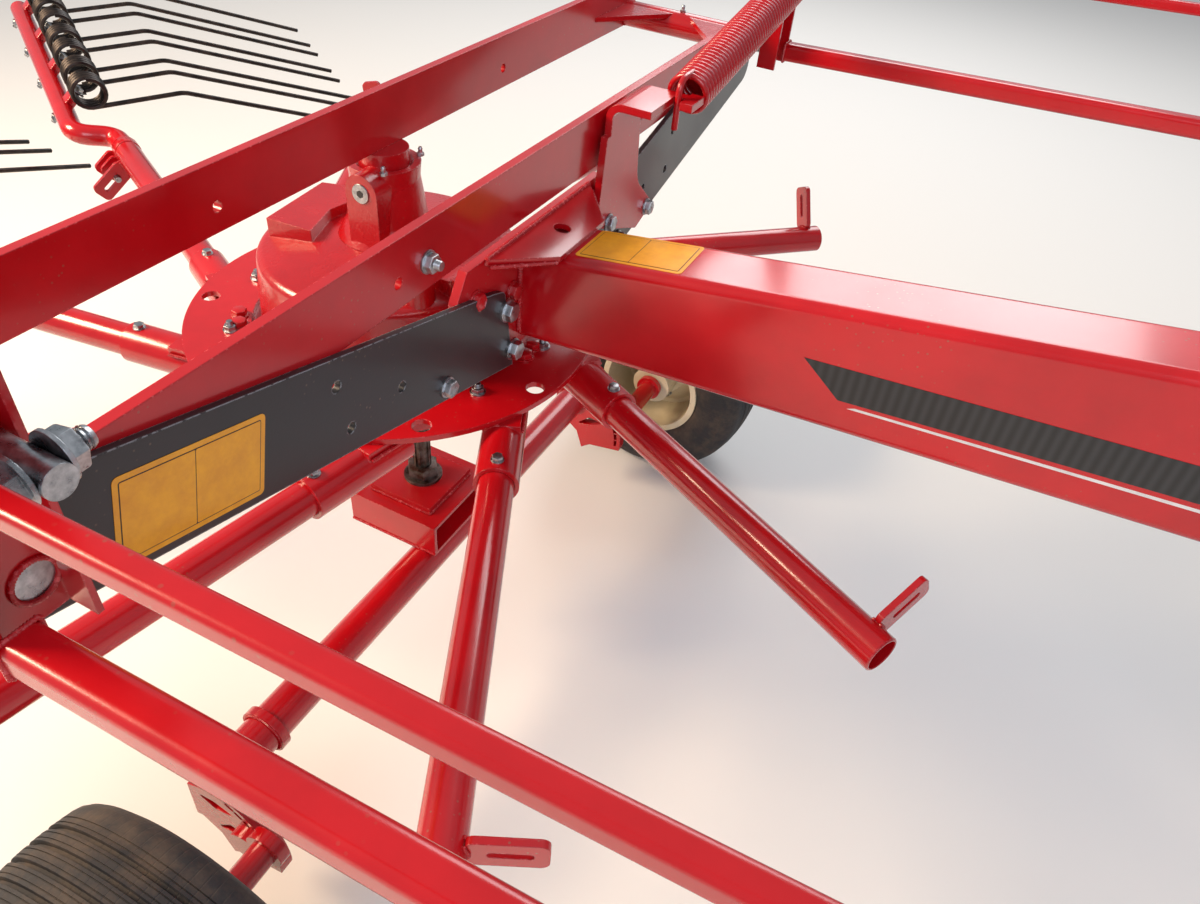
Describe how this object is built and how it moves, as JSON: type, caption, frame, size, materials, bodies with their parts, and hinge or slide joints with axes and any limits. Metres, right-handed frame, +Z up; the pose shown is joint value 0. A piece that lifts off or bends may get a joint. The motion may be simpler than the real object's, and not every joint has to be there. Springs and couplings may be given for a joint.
{
  "type": "folded single rotor rake",
  "caption": "Mounted hay rake with one rotor of plug-in tine arms, two wheels, a box beam, a swivelling headstock and guards folded up for the road.",
  "frame": {"origin": "centre of the top link bore on the headstock", "axes": "+X forward to the tractor, +Y left, +Z up along the rotor axis"},
  "size_m": [4.0087, 1.9031, 1.96],
  "materials": {
    "red_enamel": "glossy red enamel",
    "black_enamel": "satin black enamel",
    "zinc_plate": "zinc plated",
    "bare_steel": "greased steel",
    "spring_steel": "dark brown spring steel",
    "tyre_rubber": "dusty rubber",
    "rim_enamel": "cream enamel"
  },
  "bodies": {
    "rotor": {"arm_sleeves": "red_enamel", "rotor_arms": "red_enamel", "rotor_disc": "red_enamel", "rotor_drum": "red_enamel", "tine_bar_left": "red_enamel", "tine_bar_rear": "red_enamel", "tines_left": "spring_steel", "tines_rear": "spring_steel"},
    "wheel_right": {"rim_right": "rim_enamel", "tyre_right": "tyre_rubber"},
    "wheel_left": {"rim_left": "rim_enamel", "tyre_left": "tyre_rubber"},
    "guard_right": {"guard_loop_right": "red_enamel", "guard_lower_rail_right": "red_enamel", "guard_post_right": "red_enamel", "guard_shaft_right": "zinc_plate", "guard_upper_rail_right": "red_enamel", "spring_peg_right": "zinc_plate"},
    "guard_left": {"guard_loop_left": "red_enamel", "guard_lower_rail_left": "red_enamel", "guard_post_left": "red_enamel", "guard_shaft_left": "zinc_plate", "guard_upper_rail_left": "red_enamel", "spring_peg_left": "zinc_plate"},
    "headstock": {"headstock_frame": "red_enamel", "hitch_pin_left": "zinc_plate", "hitch_pin_right": "zinc_plate", "swivel_pin": "zinc_plate"},
    "stand": {"stand_leg": "red_enamel"},
    "drive": {"drive_stub": "bare_steel"},
    "frame": {"axle_tube": "red_enamel", "beam_end_plate": "red_enamel", "carriage_box": "red_enamel", "carriage_plate": "red_enamel", "cross_bar_front": "red_enamel", "cross_bar_rear": "red_enamel", "drive_bearing": "red_enamel", "gear_housing": "red_enamel", "guard_spring": "red_enamel", "height_spindle": "bare_steel", "hinge_tube_left": "red_enamel", "hinge_tube_right": "red_enamel", "hub_column": "red_enamel", "hub_core": "red_enamel", "main_beam": "red_enamel", "spring_anchor": "red_enamel", "stand_sleeve": "red_enamel", "strut_left": "black_enamel", "strut_right": "black_enamel", "wheel_sector_left": "red_enamel", "wheel_sector_right": "red_enamel"}
  },
  "joints": [
    {"name": "rotor_turn", "type": "hinge", "parent": "frame", "child": "rotor", "pos_m": [-2.2, 0, -0.422], "axis": [0, 0, 1], "continuous": true},
    {"name": "wheel_right_turn", "type": "hinge", "parent": "frame", "child": "wheel_right", "pos_m": [-2.03, -0.763, -0.882], "axis": [0, 1, 0], "continuous": true},
    {"name": "wheel_left_turn", "type": "hinge", "parent": "frame", "child": "wheel_left", "pos_m": [-2.03, 0.763, -0.882], "axis": [0, 1, 0], "continuous": true},
    {"name": "guard_right_fold", "type": "hinge", "parent": "frame", "child": "guard_right", "pos_m": [-1.893, -0.725, -0.11], "axis": [1, 0, 0], "range_deg": [0, 92]},
    {"name": "guard_left_fold", "type": "hinge", "parent": "frame", "child": "guard_left", "pos_m": [-1.893, 0.725, -0.11], "axis": [-1, 0, 0], "range_deg": [0, 92], "deforming": ["guard_spring"]},
    {"name": "headstock_swivel", "type": "hinge", "parent": "frame", "child": "headstock", "pos_m": [-0.17, 0, -0.212], "axis": [0, 0, 1], "range_deg": [-20, 20]},
    {"name": "stand_slide", "type": "slide", "parent": "frame", "child": "stand", "axis": [0, 0, 1], "range_m": [0, 0.5]},
    {"name": "drive_turn", "type": "hinge", "parent": "frame", "child": "drive", "pos_m": [-0.212, 0, -0.132], "axis": [1, 0, 0], "continuous": true}
  ]
}
